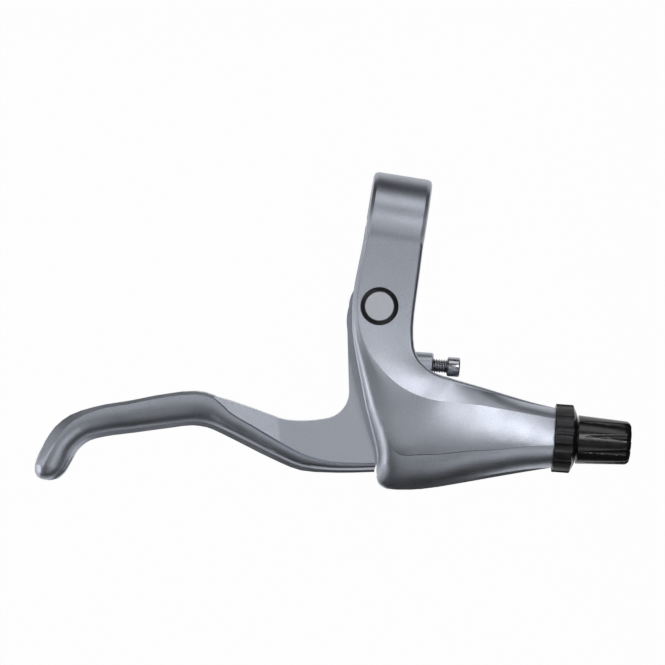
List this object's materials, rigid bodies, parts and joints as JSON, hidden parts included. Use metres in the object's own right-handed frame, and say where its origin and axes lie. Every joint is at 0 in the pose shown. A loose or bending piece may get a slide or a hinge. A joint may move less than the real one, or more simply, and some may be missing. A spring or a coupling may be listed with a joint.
{
  "type": "bicycle brake lever",
  "caption": "Flat-bar bicycle brake lever: cast bracket with bar clamp, curved finger blade on a pivot, reach screw, swivelling cable hook and hollow cable adjuster with lock ring.",
  "frame": {"origin": "centre of the handlebar clamp's bore, on the handlebar's axis", "axes": "+X along the handlebar towards the cable adjuster, +Y from the lever towards the rider, +Z out of the bracket's upper face"},
  "size_m": [0.1627, 0.0992, 0.0365],
  "materials": {
    "silver_casting": "satin silver-grey paint on a casting",
    "steel": "bright zinc-plated steel",
    "black_aluminium": "black anodised",
    "black_plastic": "semi-gloss black moulding",
    "bush_plastic": "dark bearing plastic"
  },
  "bodies": {
    "bracket": {"bracket": "silver_casting", "clamp_bolt": "steel", "clamp_washer": "steel"},
    "pivot_axle": {"pivot_pin": "steel", "pivot_washer": "steel", "pivot_clip": "steel"},
    "lever": {"lever_blade": "silver_casting", "pivot_bush_upper": "bush_plastic", "pivot_bush_lower": "bush_plastic", "hook_pin": "steel"},
    "cable_hook": {"cable_hook": "steel"},
    "reach_screw": {"reach_screw": "steel"},
    "adjuster_bolt": {"adjuster_bolt": "black_aluminium"},
    "adjuster_grip": {"adjuster_grip": "black_plastic"},
    "lock_ring": {"lock_ring": "black_plastic"}
  },
  "joints": [
    {"name": "reach_angle", "type": "hinge", "parent": "bracket", "child": "pivot_axle", "pos_m": [-0.00108, -0.0228, 0], "axis": [0, 0, -1], "range_deg": [0, 10]},
    {"name": "lever_pull", "type": "hinge", "parent": "pivot_axle", "child": "lever", "pos_m": [-0.00108, -0.0228, 0], "axis": [0, 0, -1], "range_deg": [0, 34]},
    {"name": "hook_swivel", "type": "hinge", "parent": "lever", "child": "cable_hook", "pos_m": [0.0045, -0.0552, 0], "axis": [0, 0, 1], "range_deg": [0, 34.1]},
    {"name": "reach_screw_travel", "type": "slide", "parent": "bracket", "child": "reach_screw", "axis": [-0.9963, -0.0854, 0], "range_m": [0, 0.0026]},
    {"name": "adjuster_travel", "type": "slide", "parent": "bracket", "child": "adjuster_bolt", "axis": [0.9963, 0.0854, 0], "range_m": [0, 0.008]},
    {"name": "adjuster_turn", "type": "hinge", "parent": "adjuster_bolt", "child": "adjuster_grip", "pos_m": [0.0525, -0.05114, 0], "axis": [0.9963, 0.0854, 0], "range_deg": [0, 2880]},
    {"name": "lock_ring_turn", "type": "hinge", "parent": "bracket", "child": "lock_ring", "pos_m": [0.0525, -0.05114, 0], "axis": [0.9963, 0.0854, 0], "continuous": true}
  ],
  "couplings": [
    {"joint": "reach_screw_travel", "follows": "reach_angle", "m_per_rad": 0.01477},
    {"joint": "hook_swivel", "follows": "lever_pull", "ratio": 1},
    {"joint": "adjuster_turn", "follows": "adjuster_travel", "rad_per_m": 6283.2}
  ]
}
